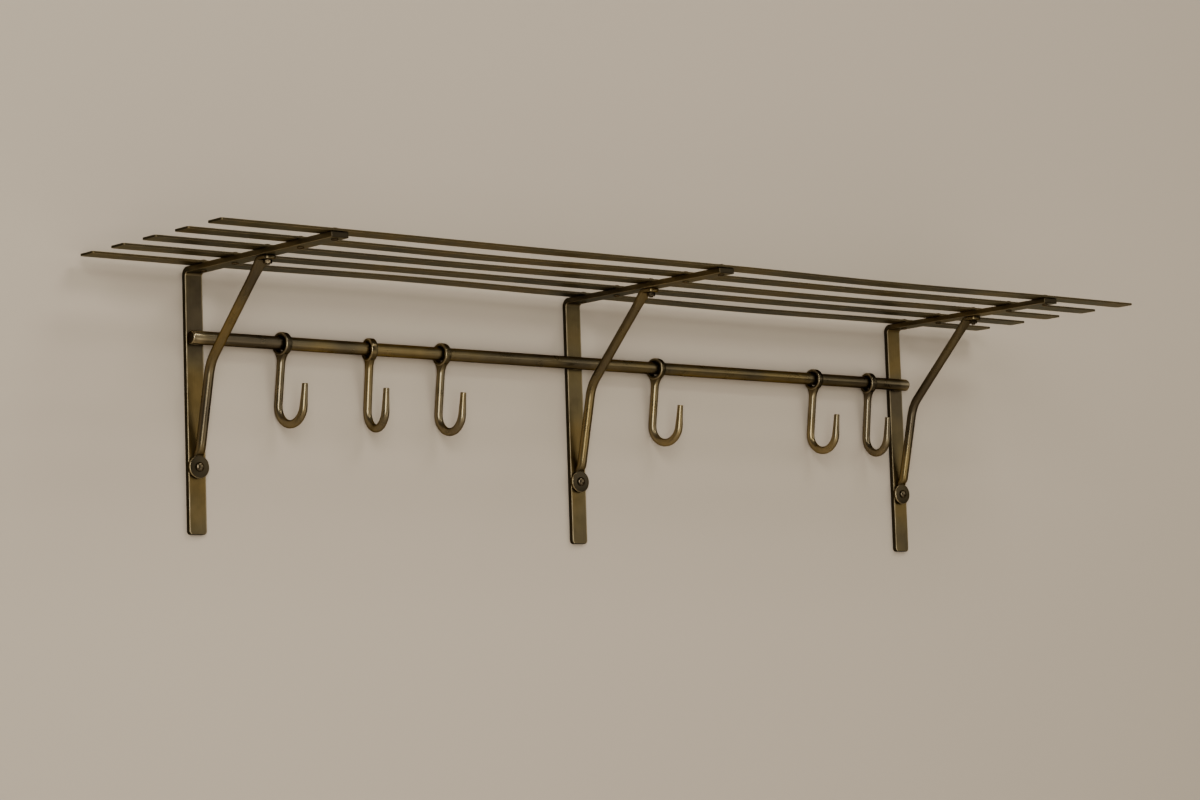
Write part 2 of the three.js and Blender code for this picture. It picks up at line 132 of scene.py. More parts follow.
class Shell:
    """Collects closed surfaces for one mesh, with the direction of their grain and their tones."""

    def __init__(self):
        self.points, self.faces, self.grain, self.wear = [], [], [], []

    def loft(self, rings, wear, along, around, closed=False):
        """Joins rings of points. along and around are the texture's metres on both ways."""
        base, count, size = len(self.points), len(rings), len(rings[0])
        for ring, ring_wear in zip(rings, wear):
            self.points.extend(ring)
            self.wear.extend(ring_wear)
        for i in range(count if closed else count - 1):
            a, b = base + i * size, base + (i + 1) % count * size
            for j in range(size):
                k = (j + 1) % size
                self.faces.append((a + j, a + k, b + k, b + j))
                u0, u1 = around[j], around[j + 1]
                v0, v1 = along[i], along[i + 1]
                self.grain.extend(((u0, v0), (u1, v0), (u1, v1), (u0, v1)))
        if closed:
            return
        for start, order, v in ((base, -1, along[0]), (base + (count - 1) * size, 1, along[-1])):
            loop = list(range(start, start + size))[::order]
            self.faces.append(tuple(loop))
            self.grain.extend((self.points[n].x, v + self.points[n].z) for n in loop)

    def bar(self, stations, section):
        """A bar along stations: (centre, u axis, v axis, section arguments, ring's tones)."""
        rings, wear, along = [], [], []
        for centre, u_axis, v_axis, sizes, ring_wear in stations:
            shape = section(*sizes)
            rings.append([centre + u * u_axis + v * v_axis for u, v, _ in shape])
            wear.append([tuple(map(max, tones, ring_wear)) for _, _, tones in shape])
            along.append(along[-1] + (centre - last).length if along else 0.0)
            last = centre
        middle = rings[len(rings) // 2]
        around = [0.0]
        for j in range(len(middle)):
            around.append(around[-1] + (middle[(j + 1) % len(middle)] - middle[j]).length)
        self.loft(rings, wear, along, around)

    def turned(self, profile, centre, axis, side, sides=32, closed=False, wear=None):
        """A solid of revolution. The profile is (radius, height) pairs going up the axis."""
        other = axis.cross(side)
        wear = wear or [(0.0, 0.0)] * len(profile)
        rings = []
        for radius, height in profile:
            ring = []
            for k in range(sides):
                angle = 2 * math.pi * k / sides
                out = math.cos(angle) * side + math.sin(angle) * other
                ring.append(centre + height * axis + max(radius, 1e-6) * out)
            rings.append(ring)
        widest = max(radius for radius, _ in profile)
        around = [2 * math.pi * widest * k / sides for k in range(sides + 1)]
        along = [0.0]
        pairs = list(zip(profile, profile[1:] + profile[:1]))
        for (r0, h0), (r1, h1) in pairs:
            along.append(along[-1] + math.hypot(r1 - r0, h1 - h0))
        self.loft(rings, [[w] * sides for w in wear], along, around, closed)

    def mesh(self, name, material, sharp=50):
        data = bpy.data.meshes.new(name)
        data.from_pydata([tuple(p) for p in self.points], [], self.faces)
        layer = data.uv_layers.new(name="grain")
        for loop, uv in zip(layer.data, self.grain):
            loop.uv = uv
        colour = data.color_attributes.new("wear", "FLOAT_COLOR", "POINT")
        for item, (rubbed, darkened) in zip(colour.data, self.wear):
            item.color = (rubbed, darkened, 0.0, 1.0)
        data.materials.append(material)
        data.shade_smooth()
        data.set_sharp_from_angle(angle=math.radians(sharp))
        data.validate()
        piece = bpy.data.objects.new(name, data)
        bpy.context.collection.objects.link(piece)
        return piece


def place(piece, body, slot, *nodes):
    """Puts a piece on its CAD body, in the place of the nodes that it stands for."""
    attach(piece, body)
    if nodes:
        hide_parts(*nodes)


# ---- materials -------------------------------------------------------------------------------


def node(tree, kind, x, y, **settings):
    made = tree.nodes.new(kind)
    made.location = (x, y)
    for key, value in settings.items():
        setattr(made, key, value)
    return made


def ramp(tree, x, y, source, stops):
    made = node(tree, "ShaderNodeValToRGB", x, y)
    band = made.color_ramp
    while len(band.elements) < len(stops):
        band.elements.new(0.5)
    for element, (position, colour) in zip(band.elements, stops):
        element.position = position
        grey = isinstance(colour, float)
        element.color = (colour, colour, colour, 1) if grey else (*colour, 1)
    tree.links.new(source, made.inputs["Fac"])
    return made.outputs["Color"]


def noise_at(tree, x, y, vector, scale, detail=3.0, roughness=0.5, stretch=None):
    if stretch:
        mapping = node(tree, "ShaderNodeMapping", x - 200, y)
        mapping.inputs["Scale"].default_value = stretch
        tree.links.new(vector, mapping.inputs["Vector"])
        vector = mapping.outputs["Vector"]
    made = node(tree, "ShaderNodeTexNoise", x, y)
    made.inputs["Scale"].default_value = scale
    made.inputs["Detail"].default_value = detail
    made.inputs["Roughness"].default_value = roughness
    tree.links.new(vector, made.inputs["Vector"])
    return made.outputs["Fac"]


def mix(tree, x, y, factor, a, b, blend="MIX"):
    made = node(tree, "ShaderNodeMix", x, y, data_type="RGBA", blend_type=blend)
    for value, socket in ((factor, made.inputs[0]), (a, made.inputs[6]), (b, made.inputs[7])):
        if hasattr(value, "is_linked"):
            tree.links.new(value, socket)
        elif isinstance(value, tuple):
            socket.default_value = (*value, 1)
        else:
            socket.default_value = value
    return made.outputs[2]


def math_node(tree, x, y, operation, a, b):
    made = node(tree, "ShaderNodeMath", x, y, operation=operation)
    for value, socket in ((a, made.inputs[0]), (b, made.inputs[1])):
        if hasattr(value, "is_linked"):
            tree.links.new(value, socket)
        else:
            socket.default_value = value
    return made.outputs[0]


def aged_brass(name, dark, olive, gold, worn, grazing, gloss, relief, mottle, patch_scale):
    """Brass with brown patina in drifting patches, fine drawing lines and rubbed edges."""
    material = bpy.data.materials.new(name)
    material.use_nodes = True
    tree = material.node_tree
    tree.nodes.clear()
    out = node(tree, "ShaderNodeOutputMaterial", 900, 0)
    shader = node(tree, "ShaderNodeBsdfPrincipled", 600, 0)
    tree.links.new(shader.outputs["BSDF"], out.inputs["Surface"])
    place_in_row = node(tree, "ShaderNodeTexCoord", -1400, 200).outputs["Object"]
    grain = node(tree, "ShaderNodeUVMap", -1400, -200, uv_map="grain").outputs["UV"]
    tones = node(tree, "ShaderNodeAttribute", -1600, -500, attribute_name="wear").outputs["Color"]
    parts = node(tree, "ShaderNodeSeparateColor", -1400, -500)
    tree.links.new(tones, parts.inputs["Color"])
    edge, darkened = parts.outputs["Red"], parts.outputs["Green"]

    patches = noise_at(tree, -900, 400, place_in_row, patch_scale, 2.0, 0.45)
    colour = ramp(tree, -650, 400, patches, [(0.36, dark), (0.47, olive), (0.60, gold)])
    clouds = noise_at(tree, -900, 150, place_in_row, patch_scale * 6, 2.0, 0.5)
    cloud_tone = ramp(tree, -650, 150, clouds, [(0.30, 0.62), (0.52, 1.0), (0.75, 1.22)])
    colour = mix(tree, -350, 300, mottle, colour, cloud_tone, "MULTIPLY")
    lines = noise_at(tree, -900, -150, grain, 1.0, 2.0, 0.6, stretch=(2600, 26, 1))
    line_tone = ramp(tree, -650, -150, lines, [(0.25, 0.80), (0.75, 1.18)])
    colour = mix(tree, -150, 250, 0.6, colour, line_tone, "MULTIPLY")
    # Rubbed edges are mixed in with the worn colour. On the hooks' eyes the same rubbed tone paints
    # a highlight on the left outer arris.
    rub_noise = noise_at(tree, -900, -450, place_in_row, 70, 1.0, 0.5)
    rub = ramp(tree, -650, -450, rub_noise, [(0.35, 0.45), (0.62, 1.0)])
    rubbed = math_node(tree, -350, -450, "MULTIPLY", edge, rub)
    colour = mix(tree, 50, 200, rubbed, colour, worn)
    colour = mix(tree, 250, 200, darkened, colour, tuple(0.4 * c for c in dark))
    tree.links.new(colour, shader.inputs["Base Color"])

    rough = ramp(tree, -350, 0, clouds, [(0.25, gloss - 0.04), (0.75, gloss + 0.05)])
    tree.links.new(rough, shader.inputs["Roughness"])
    shader.inputs["Metallic"].default_value = 1.0
    shader.inputs["Specular Tint"].default_value = (*grazing, 1)

    hammer = noise_at(tree, -900, -750, place_in_row, 75, 2.0, 0.5)
    height = math_node(tree, -350, -750, "MULTIPLY", hammer, 0.35)
    fine = math_node(tree, -350, -900, "MULTIPLY", lines, 0.02)
    height = math_node(tree, -150, -800, "ADD", height, fine)
    bump = node(tree, "ShaderNodeBump", 200, -600)
    bump.inputs["Strength"].default_value = relief
    bump.inputs["Distance"].default_value = 0.4 * MM
    tree.links.new(height, bump.inputs["Height"])
    tree.links.new(bump.outputs["Normal"], shader.inputs["Normal"])
    return material


bar_brass = aged_brass(
    "bar_brass",
    dark=(0.092, 0.072, 0.042),
    olive=(0.132, 0.102, 0.048),
    gold=(0.165, 0.113, 0.040),
    worn=(0.420, 0.340, 0.200),
    grazing=(0.50, 0.53, 0.50),
    gloss=0.40,
    relief=0.30,
    mottle=0.6,
    patch_scale=11.0,
)
rod_brass = aged_brass(
    "rod_brass",
    dark=(0.098, 0.079, 0.050),
    olive=(0.140, 0.112, 0.062),
    gold=(0.200, 0.148, 0.062),
    worn=(0.460, 0.380, 0.230),
    grazing=(0.22, 0.20, 0.15),
    gloss=0.29,
    relief=0.06,
    mottle=0.3,
    patch_scale=12.0,
)
fastener_brass = aged_brass(
    "fastener_brass",
    dark=(0.080, 0.062, 0.040),
    olive=(0.100, 0.079, 0.048),
    gold=(0.130, 0.098, 0.054),
    worn=(0.400, 0.330, 0.210),
    grazing=(0.26, 0.23, 0.18),
    gloss=0.23,
    relief=0.10,
    mottle=0.3,
    patch_scale=40.0,
)

# ---- brackets: a flat bar bent over the wall's corner with the shelf -------------------------

BAR_EDGE = 0.55 * MM
LEG_CORNER = 3.5 * MM
ARM_CORNER = 1.5 * MM
BAR_HALF_DEPTH = 2.5 * MM
BAR_STEP = 9 * MM
LEG_SHADE, ARM_SHADE, SLAT_SHADE = 1.0, 0.55, 0.7  # how dark the bars' narrow sides are
BEND_RADIUS = 5.5 * MM  # on the bar's middle line


def side_path(start, runs):
    """Points of a path in the plane x = 0, as (y, z).

    Runs are straight, ("line", end, step), or round, ("arc", centre, turn, count).
    """
    points = [Vector(start)]
    for kind, *facts in runs:
        here = points[-1]
        if kind == "line":
            end, step = Vector(facts[0]), facts[1]
            count = max(1, round((end - here).length / step))
            points.extend(here.lerp(end, k / count) for k in range(1, count + 1))
        else:
            centre, turn, count = Vector(facts[0]), facts[1], facts[2]
            arm = here - centre
            for k in range(1, count + 1):
                a = turn * k / count
                points.append(
                    centre
                    + Vector(
                        (
                            arm.x * math.cos(a) - arm.y * math.sin(a),
                            arm.x * math.sin(a) + arm.y * math.cos(a),
                        )
                    )
                )
    return points


def frames(points, x):
    """Each (y, z) point as (centre, u along X, v square to the path)."""
    made = []
    for k, point in enumerate(points):
        ahead, behind = points[min(k + 1, len(points) - 1)], points[max(k - 1, 0)]
        way = (ahead - behind).normalized()
        made.append((Vector((x, point.x, point.y)), Vector((1, 0, 0)), Vector((0, way.y, -way.x))))
    return made


def lengths(points):
    """Distance of each point from the start of the path."""
    run = [0.0]
    for a, b in zip(points, points[1:]):
        run.append(run[-1] + (b - a).length)
    return run


def with_steps(points, distances):
    """Adds points at those distances from the start of the path's first straight run."""
    way = (points[1] - points[0]).normalized()
    extra = [points[0] + d * way for d in distances if d > 0]
    reach = distances[-1]
    rest = [p for p in points[1:] if (p - points[0]).length > reach + 1e-5]
    return [points[0]] + extra + rest


for side in SIDES:
    low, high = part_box(f"bracket_{side}")
    x, half_width = (low.x + high.x) / 2, (high.x - low.x) / 2
    top, foot, front = high.z - BAR_HALF_DEPTH, low.z, low.y
    path = side_path(
        (-BAR_HALF_DEPTH, foot),
        [
            ("line", (-BAR_HALF_DEPTH, top - BEND_RADIUS), BAR_STEP),
            ("arc", (-BAR_HALF_DEPTH - BEND_RADIUS, top - BEND_RADIUS), math.pi / 2, 10),
            ("line", (front, top), BAR_STEP),
        ],
    )
    path = with_steps(path, sorted(set(end_steps(BAR_EDGE, 3) + end_steps(LEG_CORNER))))
    path = with_steps(path[::-1], sorted(set(end_steps(BAR_EDGE, 3) + end_steps(ARM_CORNER))))[::-1]
    run = lengths(path)
    stations = []
    for (centre, u, v), s in zip(frames(path, x), run):
        from_end = run[-1] - s
        width = half_width - inset(s, LEG_CORNER) - inset(from_end, ARM_CORNER)
        near = min(s, from_end)
        depth = BAR_HALF_DEPTH - inset(near, BAR_EDGE)
        shade = ARM_SHADE if centre.y < -2 * BEND_RADIUS else LEG_SHADE
        tones = (0.0, float(near < BAR_EDGE))
        stations.append((centre, u, v, (width, depth, BAR_EDGE, shade), tones))
    shell = Shell()
    shell.bar(stations, bar_section)
    place(shell.mesh(f"bracket_{side}_look", bar_brass), "root", "bar_brass", f"bracket_{side}")

# ---- slats -----------------------------------------------------------------------------------

SLAT_CORNER = 3.0 * MM
SLAT_EDGE = 0.35 * MM
SLAT_STEP = 22 * MM
SLAT_WANDER = 0.12 * MM  # how far a slat's edges stray from straight, front to back

# How far each slat hangs below straight in the middle of the left and of the right bay.
SLAT_SAG = {
    1: (-1.2 * MM, 1.0 * MM),
    2: (-0.2 * MM, 0.2 * MM),
    3: (0.3 * MM, 0.8 * MM),
    4: (1.0 * MM, 0.3 * MM),
    5: (0.4 * MM, 1.2 * MM),
}


BAY = sum(end.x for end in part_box("bracket_right")) / 2  # between the middles of two legs


def sag(x, left, right):
    """How far a slat hangs below straight at x. The overhanging ends don't sag."""
    if abs(x) > BAY:
        return 0.0
    return (left if x < 0 else right) * math.sin(math.pi * abs(x) / BAY) ** 2


for k in range(1, 6):
    low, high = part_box(f"slat_{k}")
    half_width, half_depth = (high.y - low.y) / 2, (high.z - low.z) / 2
    y, z, length = (low.y + high.y) / 2, (low.z + high.z) / 2, high.x - low.x
    ends = sorted(set(end_steps(SLAT_EDGE, 3) + end_steps(SLAT_CORNER)))
    count = round(length / SLAT_STEP)
    middle = [s * length / count for s in range(1, count)]
    run = ends + middle + [length - s for s in reversed(ends)]
    stations = []
    for s in run:
        near = min(s, length - s)
        width = half_width - inset(near, SLAT_CORNER)
        depth = half_depth - inset(near, SLAT_EDGE)
        wander = SLAT_WANDER * noise.noise(Vector((s * 6, k * 7.3, 0)))
        centre = Vector((low.x + s, y + wander, z - sag(low.x + s, *SLAT_SAG[k])))
        tones = (0.0, float(near < SLAT_EDGE))
        stations.append((centre, BACK, UP, (width, depth, SLAT_EDGE, SLAT_SHADE), tones))
    shell = Shell()
    shell.bar(stations, bar_section)
    place(shell.mesh(f"slat_{k}_look", bar_brass), "root", "bar_brass", f"slat_{k}")

# ---- rail ------------------------------------------------------------------------------------

RAIL_EDGE = 1.6 * MM
BEAD_HALF_LENGTH, BEAD_RADIUS = 7 * MM, 1.7 * MM
BEAD_BEHIND_AXIS, BEAD_BELOW_AXIS = 4.9 * MM, 4.6 * MM
BEAD_TONES, BEAD_STEPS = (0.3, 0.3), 6
RAIL_STEPS = 60
RAIL_FACE = 0.2 * MM  # the rail's end face is dark up to here, and rubbed past it

low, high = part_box("hanging_rail")
rail_radius, rail_length = (high.z - low.z) / 2, high.x - low.x
rail_y, rail_z = (low.y + high.y) / 2, (low.z + high.z) / 2
shell = Shell()
profile, wear = [], []
for s in end_steps(RAIL_EDGE, 4):
    profile.append((rail_radius - inset(s, RAIL_EDGE), s))
    wear.append((0.8 * (s > RAIL_FACE), float(s <= RAIL_FACE)))
for k in range(1, RAIL_STEPS):
    profile.append((rail_radius, rail_length * k / RAIL_STEPS))
    wear.append((0.0, 0.0))
for s in reversed(end_steps(RAIL_EDGE, 4)):
    profile.append((rail_radius - inset(s, RAIL_EDGE), rail_length - s))
    wear.append((float(s > RAIL_FACE), float(s == 0)))
shell.turned(profile, Vector((low.x, rail_y, rail_z)), RIGHT, BACK, 48, wear=wear)

# A bead of braze lies under the rail where it crosses each leg.
for side in SIDES:
    leg_low, leg_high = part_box(f"bracket_{side}")
    stations = []
    for k in range(-BEAD_STEPS, BEAD_STEPS + 1):
        t = k / (BEAD_STEPS + 0.4)  # the bead ends just short of a point
        centre = Vector(
            (
                (leg_low.x + leg_high.x) / 2 + t * BEAD_HALF_LENGTH,
                rail_y + BEAD_BEHIND_AXIS,
                rail_z - BEAD_BELOW_AXIS,
            )
        )
        radius = BEAD_RADIUS * math.sqrt(1 - t * t)
        lump = 1 + 0.25 * noise.noise(centre * 400)
        stations.append((centre, BACK, UP, (radius * lump,) * 3, BEAD_TONES))
    shell.bar(stations, rod_section)
place(shell.mesh("hanging_rail_look", rod_brass), "root", "rod_brass", "hanging_rail")

# ---- braces: a rod forged flat at both ends --------------------------------------------------

ROD_RADIUS = 4.4 * MM
PLATE = 3.5 * MM
EYE_RADIUS = 10.3 * MM
BRACE_BEND_AT = Vector((-28.9, 33.5)) * MM
BRACE_BEND_RADIUS = 36 * MM
NECK_END = 16 * MM
THROAT = 16 * MM
TONGUE_HALF_WIDTH = 6 * MM
TONGUE_END = 4 * MM
TONGUE_BEFORE_BOLT = 8 * MM
NECK_FOOT = Vector((0.25, 5)) * MM  # from the middle of the eye to the rod's start inside it
NECK_START = 8 * MM
FLAT_EDGE = 0.9 * MM
EYE_TONES = [(0, 0.9)] * 5 + [(0.2, 0.6), (0.9, 0), (0.9, 0), (0.3, 0.6), (0, 0.9)]


def smooth(t):
    t = min(1.0, max(0.0, t))
    return t * t * (3 - 2 * t)


for side in SIDES:
    low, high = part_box(f"brace_{side}")
    bolt_low, bolt_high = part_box(f"brace_bolt_{side}")
    x = (low.x + high.x) / 2
    eye_z = low.z + EYE_RADIUS
    plate_y = high.y - PLATE / 2
    tongue_z = high.z - PLATE / 2
    bolt_y = (bolt_low.y + bolt_high.y) / 2
    tongue_start = Vector((bolt_y + TONGUE_BEFORE_BOLT, tongue_z))
    eye = Vector((plate_y, eye_z))
    lower = (BRACE_BEND_AT - eye).normalized()
    upper = (tongue_start - BRACE_BEND_AT).normalized()
    turn = lower.angle(upper)
    reach = BRACE_BEND_RADIUS * math.tan(turn / 2)
    arc_start = BRACE_BEND_AT - reach * lower
    centre = arc_start + BRACE_BEND_RADIUS * Vector((-lower.y, lower.x))
    neck_end = eye + NECK_END * lower
    throat_foot = tongue_start - THROAT * upper
    path = side_path(
        eye + NECK_FOOT,
        [
            ("line", neck_end, 2 * MM),
            ("line", arc_start, 5 * MM),
            ("arc", centre, turn, 14),
            ("line", throat_foot, 5 * MM),
            ("line", tongue_start, 2 * MM),
            ("line", Vector((low.y, tongue_z)), 1.2 * MM),
        ],
    )
    # Near the eye the rod's middle moves over to the plate's middle in a soft curve.
    rounds = []
    for point in path:
        near_eye = (point - eye).length
        if near_eye < NECK_END:
            t = smooth((near_eye - NECK_START) / (NECK_END - NECK_START))
            point = point.copy()
            point.x = (plate_y + NECK_FOOT.x) * (1 - t) + point.x * t
        rounds.append(point)
    path = rounds
    run = lengths(path)
    stations = []
    for (centre3, u, v), s, point in zip(frames(path, x), run, path):
        near_eye = (point - eye).length
        near_tongue = point.x - tongue_start.x
        flat_low = 1 - smooth((near_eye - NECK_START - 1 * MM) / (NECK_END - NECK_START))
        flat_high = 1 - smooth((near_tongue - 1 * MM) / THROAT)
        flat = max(flat_low, flat_high)
        half = ROD_RADIUS
        half_width = half + (TONGUE_HALF_WIDTH - half) * flat_high + 0.3 * MM * flat_low
        plate_half = PLATE / 2 if flat_high > flat_low else PLATE / 2 - 0.35 * MM
        half_depth = half + (plate_half - half) * flat
        edge = half + (FLAT_EDGE - half) * flat
        from_end = run[-1] - s
        half_width -= inset(from_end, TONGUE_END)
        half_depth -= inset(from_end, 0.6 * MM)
        tones = (0.0, 0.8 * flat_low)
        stations.append((centre3, u, v, (half_width, half_depth, min(edge, half_depth)), tones))
    shell = Shell()
    shell.bar(stations, rod_section)
    rim, flat_radius = FLAT_EDGE, EYE_RADIUS - FLAT_EDGE
    quarter = [step * math.pi / 8 for step in range(5)]
    profile = [
        (flat_radius + rim * math.sin(a), -PLATE / 2 + rim * (1 - math.cos(a))) for a in quarter
    ] + [(flat_radius + rim * math.cos(a), PLATE / 2 - rim * (1 - math.sin(a))) for a in quarter]
    shell.turned(profile, Vector((x, plate_y, eye_z)), OUT, RIGHT, 56, wear=EYE_TONES)
    place(shell.mesh(f"brace_{side}_look", rod_brass), "root", "rod_brass", f"brace_{side}")

# ---- hooks: a forged eye and a J in one piece ------------------------------------------------

HOOK_RADIUS = 3.8 * MM
TIP_RADIUS = 2.75 * MM
SHANK = 53.9 * MM
HOOK_BEND = 17 * MM
TIP_RISE = 20 * MM
TIP_TAPER = TIP_RISE + 8 * MM  # measured back from the tip, round into the bend
TIP_EDGE = 0.5 * MM
LEAN = math.radians(7.4)
EYE_INNER, EYE_OUTER, EYE_HALF_WIDTH = 7 * MM, 10.6 * MM, 3.5 * MM
EYE_ROUND = 1.3 * MM
# The hook's eye is dark patina all round, except its outer arris on the left (-X) side, which is
# painted lighter as a highlight.
EYE_PAINTED_HIGHLIGHT, EYE_DARK = (0.45, 0.0), (0.0, 0.55)
SHANK_START, FLARE_END = 8.8 * MM, 18 * MM  # below the eye's centre; the shank flares between
FLARE_LENGTH, FLARE_POWER = 9.4 * MM, 2.2
FLARE_THINS, FLARE_WIDENS, FLARE_SQUARES = 0.9 * MM, 3.4 * MM, 1.4 * MM
SHANK_RUB = 0.24  # the J is rubbed brighter by use than its eye
HOOK_TURNS = {1: 6.5, 2: -7.5, 3: 2.5, 4: 8.5, 5: 4.5, 6: -6}  # degrees, from square to the rail


def leaned(point):
    """A point of the hanging J, turned with its shank towards the wall."""
    return Vector(
        (
            point.x * math.cos(LEAN) - point.y * math.sin(LEAN),
            point.x * math.sin(LEAN) + point.y * math.cos(LEAN),
        )
    )


for n, turn in HOOK_TURNS.items():
    low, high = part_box(f"hook_{n}_eye")
    middle = (low + high) / 2
    about = Matrix.Rotation(math.radians(turn), 3, "Z")
    flat_path = side_path(
        (0, -SHANK_START),
        [
            ("line", (0, -FLARE_END), 1 * MM),
            ("line", (0, -SHANK), 3 * MM),
            ("arc", (-HOOK_BEND, -SHANK), -math.pi, 26),
            ("line", (-2 * HOOK_BEND, -SHANK + TIP_RISE - 0.8 * MM), 2 * MM),
            ("line", (-2 * HOOK_BEND, -SHANK + TIP_RISE), 0.2 * MM),
        ],
    )
    run = lengths(flat_path)
    path = [leaned(p) for p in flat_path]
    stations = []
    for (centre, u, v), s, flat in zip(frames(path, 0.0), run, flat_path):
        centre, u, v = middle + about @ centre, about @ u, about @ v
        from_end = run[-1] - s
        taper = smooth(1 - from_end / TIP_TAPER)
        radius = HOOK_RADIUS + (TIP_RADIUS - HOOK_RADIUS) * taper
        on_shank = flat.x > -1 * MM
        flare = min(1.0, max(0.0, (FLARE_END + flat.y) / FLARE_LENGTH)) if on_shank else 0.0
        half_width = radius - FLARE_THINS * smooth(flare)
        half_depth = radius + FLARE_WIDENS * flare**FLARE_POWER
        edge = radius - FLARE_SQUARES * smooth(flare)
        cut = inset(from_end, TIP_EDGE)
        sizes = (half_width - cut, half_depth - cut, edge - cut)
        tones = (SHANK_RUB * (1 - flare), 0.4 * flare)
        stations.append((centre, u, v, sizes, tones))
    shell = Shell()
    shell.bar(stations, rod_section)
    profile, wear = [], []
    inner, outer = EYE_INNER + EYE_ROUND, EYE_OUTER - EYE_ROUND
    side_height = EYE_HALF_WIDTH - EYE_ROUND
    corners = (
        (inner, -side_height, math.pi),
        (outer, -side_height, 1.5 * math.pi),
        (outer, side_height, 0),
        (inner, side_height, 0.5 * math.pi),
    )
    for index, (corner_radius, corner_height, start) in enumerate(corners):
        for step in range(5):
            a = start + step * math.pi / 8
            ring_radius = corner_radius + EYE_ROUND * math.cos(a)
            profile.append((ring_radius, corner_height + EYE_ROUND * math.sin(a)))
            # Corner 1 is the outer arris on the left side. There the lighter tone is a painted
            # highlight, not wear.
            wear.append(EYE_PAINTED_HIGHLIGHT if index == 1 and 0 < step < 4 else EYE_DARK)
    shell.turned(profile, middle, about @ RIGHT, about @ BACK, 48, closed=True, wear=wear)
    piece = shell.mesh(f"hook_{n}_look", rod_brass)
    place(piece, f"hook_{n}", "rod_brass", f"hook_{n}_eye", f"hook_{n}_shank")


# ---- fasteners -------------------------------------------------------------------------------

HEAD_RADIUS, HEAD_HEIGHT = 3.6 * MM, 2 * MM
TAIL_RADIUS, TAIL_HEIGHT = 3.2 * MM, 1.3 * MM
SHANK_RADIUS = 2 * MM
LAP = 0.1 * MM  # how far a shank's end keeps inside its head
THREAD_PITCH, THREAD_TURNS = 0.7 * MM, 6
NUT_HALF_FLATS, NUT_SLOPE, NUT_STEPS = 3.5 * MM, 0.55 * MM, 24
RIVET_HEAD_RADIUS, RIVET_HEAD_HEIGHT = 4.2 * MM, 2.4 * MM


def middle_of(name):
    low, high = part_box(name)
    return low, high, (low + high) / 2


def head_below(top):
    """A domed head's profile, with its top at that height."""
    return [(r, top - HEAD_HEIGHT + h) for r, h in dome(HEAD_RADIUS, HEAD_HEIGHT)]


for side in SIDES:
    for k in (1, 2, 4, 5):
        name = f"slat_{k}_rivet_{side}"
        low, high, middle = middle_of(name)
        tail_dome = reversed(dome(TAIL_RADIUS, TAIL_HEIGHT, 5))
        profile = [(r, low.z + TAIL_HEIGHT - h) for r, h in tail_dome]
        profile.append((SHANK_RADIUS, low.z + TAIL_HEIGHT + LAP))
        profile.append((SHANK_RADIUS, high.z - HEAD_HEIGHT - LAP))
        profile += head_below(high.z)
        shell = Shell()
        shell.turned(profile, Vector((middle.x, middle.y, 0)), UP, RIGHT, 28)
        place(shell.mesh(f"{name}_look", fastener_brass), "root", "fastener_brass", name)

    name = f"brace_bolt_{side}"
    low, high, middle = middle_of(name)
    profile = [(1.5 * MM, low.z)]
    for ridge in range(THREAD_TURNS):
        z = low.z + 0.25 * MM + ridge * THREAD_PITCH
        profile += [(1.75 * MM, z), (SHANK_RADIUS, z + 0.3 * MM), (1.75 * MM, z + 0.6 * MM)]
    profile.append((SHANK_RADIUS, high.z - HEAD_HEIGHT - LAP))
    profile += head_below(high.z)
    shell = Shell()
    shell.turned(profile, Vector((middle.x, middle.y, 0)), UP, RIGHT, 28)
    place(shell.mesh(f"{name}_look", fastener_brass, 30), "root", "fastener_brass", name)

    name = f"brace_nut_{side}"
    low, high, middle = middle_of(name)
    height = high.z - low.z
    along = [0, NUT_SLOPE, height - NUT_SLOPE, height]
    rings = []
    for z, chamfered in zip(along, (True, False, False, True)):
        ring = []
        for step in range(NUT_STEPS):
            a = 2 * math.pi * step / NUT_STEPS
            radius = NUT_HALF_FLATS / math.cos((a + math.pi / 6) % (math.pi / 3) - math.pi / 6)
            if chamfered:
                radius = min(radius, NUT_HALF_FLATS * 1.01)
            out = radius * Vector((math.cos(a), math.sin(a), 0))
            ring.append(Vector((middle.x, middle.y, low.z + z)) + out)
        rings.append(ring)
    around = [NUT_HALF_FLATS * 2 * math.pi * step / NUT_STEPS for step in range(NUT_STEPS + 1)]
    shell = Shell()
    rubbed, plain = [(0.25, 0.3)] * NUT_STEPS, [(0.0, 0.6)] * NUT_STEPS
    shell.loft(rings, [rubbed, plain, plain, rubbed], along, around)
    place(shell.mesh(f"{name}_look", fastener_brass, 20), "root", "fastener_brass", name)

    name = f"brace_rivet_{side}"
    low, high, middle = middle_of(name)
    under_head = -low.y - RIVET_HEAD_HEIGHT
    profile = [(3.7 * MM, -high.y), (2.5 * MM, -high.y + 1.5 * MM), (2.5 * MM, under_head - LAP)]
    profile += [(r, under_head + h) for r, h in dome(RIVET_HEAD_RADIUS, RIVET_HEAD_HEIGHT)]
    shell = Shell()
    shell.turned(profile, Vector((middle.x, 0, middle.z)), OUT, RIGHT, 32)
    place(shell.mesh(f"{name}_look", fastener_brass), "root", "fastener_brass", name)

# ---- stage: wall and floor -------------------------------------------------------------------


